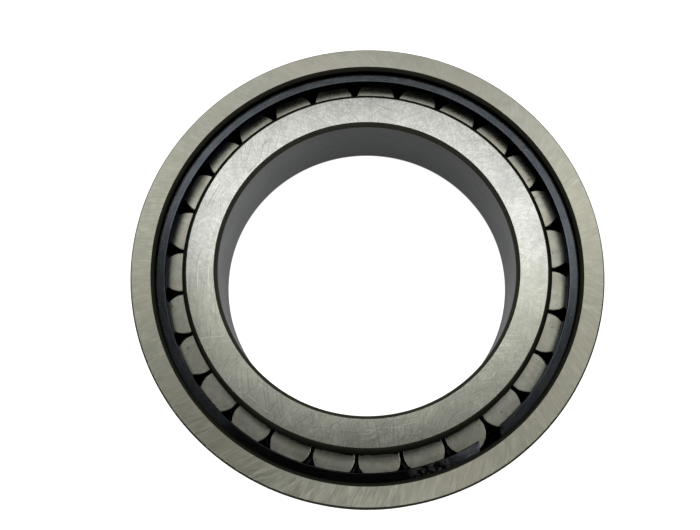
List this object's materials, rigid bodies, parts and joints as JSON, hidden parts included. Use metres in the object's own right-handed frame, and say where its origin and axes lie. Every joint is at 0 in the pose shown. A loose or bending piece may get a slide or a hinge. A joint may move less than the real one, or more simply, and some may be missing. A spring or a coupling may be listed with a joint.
{
  "type": "cylindrical roller bearing",
  "caption": "Single-row full-complement cylindrical roller bearing: flanged inner ring, outer ring with one flange, loose rollers and a split retaining ring.",
  "frame": {"origin": "on the bearing's axis, in the plane of the back side face it lies on", "axes": "+Z along the axis, from the back side face to the front side face with the retaining ring; +X and +Y across it, with the cut of the retaining ring between +X and -Y"},
  "size_m": [0.095, 0.095, 0.018],
  "materials": {
    "outer_ring_steel": "hardened bearing steel, side faces ground, corners left dark from heat treatment",
    "inner_ring_steel": "hardened bearing steel, side faces ground in crossing arcs, bore ground smooth",
    "roller_steel": "hardened bearing steel, finely ground and oiled",
    "spring_steel": "blued flat spring steel, satin and oily"
  },
  "bodies": {
    "outer_ring": {"outer_ring": "outer_ring_steel", "snap_ring": "spring_steel"},
    "inner_ring": {"inner_ring": "inner_ring_steel"},
    "roller_set": {"roller_01": "roller_steel"},
    "roller_02": {"roller_02": "roller_steel"},
    "roller_03": {"roller_03": "roller_steel"},
    "roller_04": {"roller_04": "roller_steel"},
    "roller_05": {"roller_05": "roller_steel"},
    "roller_06": {"roller_06": "roller_steel"},
    "roller_07": {"roller_07": "roller_steel"},
    "roller_08": {"roller_08": "roller_steel"},
    "roller_09": {"roller_09": "roller_steel"},
    "roller_10": {"roller_10": "roller_steel"},
    "roller_11": {"roller_11": "roller_steel"},
    "roller_12": {"roller_12": "roller_steel"},
    "roller_13": {"roller_13": "roller_steel"},
    "roller_14": {"roller_14": "roller_steel"},
    "roller_15": {"roller_15": "roller_steel"},
    "roller_16": {"roller_16": "roller_steel"},
    "roller_17": {"roller_17": "roller_steel"},
    "roller_18": {"roller_18": "roller_steel"},
    "roller_19": {"roller_19": "roller_steel"},
    "roller_20": {"roller_20": "roller_steel"},
    "roller_21": {"roller_21": "roller_steel"},
    "roller_22": {"roller_22": "roller_steel"},
    "roller_23": {"roller_23": "roller_steel"},
    "roller_24": {"roller_24": "roller_steel"},
    "roller_25": {"roller_25": "roller_steel"},
    "roller_26": {"roller_26": "roller_steel"},
    "roller_27": {"roller_27": "roller_steel"}
  },
  "joints": [
    {"name": "inner_ring_spin", "type": "hinge", "parent": "outer_ring", "child": "inner_ring", "pos_m": [0, 0, 0.009], "axis": [0, 0, 1], "continuous": true},
    {"name": "roller_set_travel", "type": "hinge", "parent": "outer_ring", "child": "roller_set", "pos_m": [0, 0, 0.009], "axis": [0, 0, 1], "continuous": true},
    {"name": "roller_02_spin", "type": "hinge", "parent": "roller_set", "child": "roller_02", "pos_m": [0.0358, 0.01332, 0.009], "axis": [0, 0, 1], "continuous": true},
    {"name": "roller_03_spin", "type": "hinge", "parent": "roller_set", "child": "roller_03", "pos_m": [0.03177, 0.02122, 0.009], "axis": [0, 0, 1], "continuous": true},
    {"name": "roller_04_spin", "type": "hinge", "parent": "roller_set", "child": "roller_04", "pos_m": [0.02602, 0.02797, 0.009], "axis": [0, 0, 1], "continuous": true},
    {"name": "roller_05_spin", "type": "hinge", "parent": "roller_set", "child": "roller_05", "pos_m": [0.01887, 0.03322, 0.009], "axis": [0, 0, 1], "continuous": true},
    {"name": "roller_06_spin", "type": "hinge", "parent": "roller_set", "child": "roller_06", "pos_m": [0.0107, 0.03667, 0.009], "axis": [0, 0, 1], "continuous": true},
    {"name": "roller_07_spin", "type": "hinge", "parent": "roller_set", "child": "roller_07", "pos_m": [0.00195, 0.03815, 0.009], "axis": [0, 0, 1], "continuous": true},
    {"name": "roller_08_spin", "type": "hinge", "parent": "roller_set", "child": "roller_08", "pos_m": [-0.0069, 0.03757, 0.009], "axis": [0, 0, 1], "continuous": true},
    {"name": "roller_09_spin", "type": "hinge", "parent": "roller_set", "child": "roller_09", "pos_m": [-0.01538, 0.03497, 0.009], "axis": [0, 0, 1], "continuous": true},
    {"name": "roller_10_spin", "type": "hinge", "parent": "roller_set", "child": "roller_10", "pos_m": [-0.02303, 0.03048, 0.009], "axis": [0, 0, 1], "continuous": true},
    {"name": "roller_11_spin", "type": "hinge", "parent": "roller_set", "child": "roller_11", "pos_m": [-0.02944, 0.02435, 0.009], "axis": [0, 0, 1], "continuous": true},
    {"name": "roller_12_spin", "type": "hinge", "parent": "roller_set", "child": "roller_12", "pos_m": [-0.03426, 0.0169, 0.009], "axis": [0, 0, 1], "continuous": true},
    {"name": "roller_13_spin", "type": "hinge", "parent": "roller_set", "child": "roller_13", "pos_m": [-0.03723, 0.00855, 0.009], "axis": [0, 0, 1], "continuous": true},
    {"name": "roller_14_spin", "type": "hinge", "parent": "roller_set", "child": "roller_14", "pos_m": [-0.0382, -0.00027, 0.009], "axis": [0, 0, 1], "continuous": true},
    {"name": "roller_15_spin", "type": "hinge", "parent": "roller_set", "child": "roller_15", "pos_m": [-0.03711, -0.00907, 0.009], "axis": [0, 0, 1], "continuous": true},
    {"name": "roller_16_spin", "type": "hinge", "parent": "roller_set", "child": "roller_16", "pos_m": [-0.03402, -0.01738, 0.009], "axis": [0, 0, 1], "continuous": true},
    {"name": "roller_17_spin", "type": "hinge", "parent": "roller_set", "child": "roller_17", "pos_m": [-0.02909, -0.02476, 0.009], "axis": [0, 0, 1], "continuous": true},
    {"name": "roller_18_spin", "type": "hinge", "parent": "roller_set", "child": "roller_18", "pos_m": [-0.0226, -0.0308, 0.009], "axis": [0, 0, 1], "continuous": true},
    {"name": "roller_19_spin", "type": "hinge", "parent": "roller_set", "child": "roller_19", "pos_m": [-0.01488, -0.03518, 0.009], "axis": [0, 0, 1], "continuous": true},
    {"name": "roller_20_spin", "type": "hinge", "parent": "roller_set", "child": "roller_20", "pos_m": [-0.00637, -0.03767, 0.009], "axis": [0, 0, 1], "continuous": true},
    {"name": "roller_21_spin", "type": "hinge", "parent": "roller_set", "child": "roller_21", "pos_m": [0.00249, -0.03812, 0.009], "axis": [0, 0, 1], "continuous": true},
    {"name": "roller_22_spin", "type": "hinge", "parent": "roller_set", "child": "roller_22", "pos_m": [0.01121, -0.03652, 0.009], "axis": [0, 0, 1], "continuous": true},
    {"name": "roller_23_spin", "type": "hinge", "parent": "roller_set", "child": "roller_23", "pos_m": [0.01933, -0.03295, 0.009], "axis": [0, 0, 1], "continuous": true},
    {"name": "roller_24_spin", "type": "hinge", "parent": "roller_set", "child": "roller_24", "pos_m": [0.02641, -0.0276, 0.009], "axis": [0, 0, 1], "continuous": true},
    {"name": "roller_25_spin", "type": "hinge", "parent": "roller_set", "child": "roller_25", "pos_m": [0.03206, -0.02077, 0.009], "axis": [0, 0, 1], "continuous": true},
    {"name": "roller_26_spin", "type": "hinge", "parent": "roller_set", "child": "roller_26", "pos_m": [0.03599, -0.01281, 0.009], "axis": [0, 0, 1], "continuous": true},
    {"name": "roller_27_spin", "type": "hinge", "parent": "roller_set", "child": "roller_27", "pos_m": [0.03797, -0.00417, 0.009], "axis": [0, 0, 1], "continuous": true}
  ],
  "couplings": [
    {"joint": "roller_set_travel", "follows": "inner_ring_spin", "ratio": 0.44241},
    {"joint": "roller_02_spin", "follows": "inner_ring_spin", "ratio": -4.2833},
    {"joint": "roller_03_spin", "follows": "inner_ring_spin", "ratio": -4.2833},
    {"joint": "roller_04_spin", "follows": "inner_ring_spin", "ratio": -4.2833},
    {"joint": "roller_05_spin", "follows": "inner_ring_spin", "ratio": -4.2833},
    {"joint": "roller_06_spin", "follows": "inner_ring_spin", "ratio": -4.2833},
    {"joint": "roller_07_spin", "follows": "inner_ring_spin", "ratio": -4.2833},
    {"joint": "roller_08_spin", "follows": "inner_ring_spin", "ratio": -4.2833},
    {"joint": "roller_09_spin", "follows": "inner_ring_spin", "ratio": -4.2833},
    {"joint": "roller_10_spin", "follows": "inner_ring_spin", "ratio": -4.2833},
    {"joint": "roller_11_spin", "follows": "inner_ring_spin", "ratio": -4.2833},
    {"joint": "roller_12_spin", "follows": "inner_ring_spin", "ratio": -4.2833},
    {"joint": "roller_13_spin", "follows": "inner_ring_spin", "ratio": -4.2833},
    {"joint": "roller_14_spin", "follows": "inner_ring_spin", "ratio": -4.2833},
    {"joint": "roller_15_spin", "follows": "inner_ring_spin", "ratio": -4.2833},
    {"joint": "roller_16_spin", "follows": "inner_ring_spin", "ratio": -4.2833},
    {"joint": "roller_17_spin", "follows": "inner_ring_spin", "ratio": -4.2833},
    {"joint": "roller_18_spin", "follows": "inner_ring_spin", "ratio": -4.2833},
    {"joint": "roller_19_spin", "follows": "inner_ring_spin", "ratio": -4.2833},
    {"joint": "roller_20_spin", "follows": "inner_ring_spin", "ratio": -4.2833},
    {"joint": "roller_21_spin", "follows": "inner_ring_spin", "ratio": -4.2833},
    {"joint": "roller_22_spin", "follows": "inner_ring_spin", "ratio": -4.2833},
    {"joint": "roller_23_spin", "follows": "inner_ring_spin", "ratio": -4.2833},
    {"joint": "roller_24_spin", "follows": "inner_ring_spin", "ratio": -4.2833},
    {"joint": "roller_25_spin", "follows": "inner_ring_spin", "ratio": -4.2833},
    {"joint": "roller_26_spin", "follows": "inner_ring_spin", "ratio": -4.2833},
    {"joint": "roller_27_spin", "follows": "inner_ring_spin", "ratio": -4.2833}
  ]
}
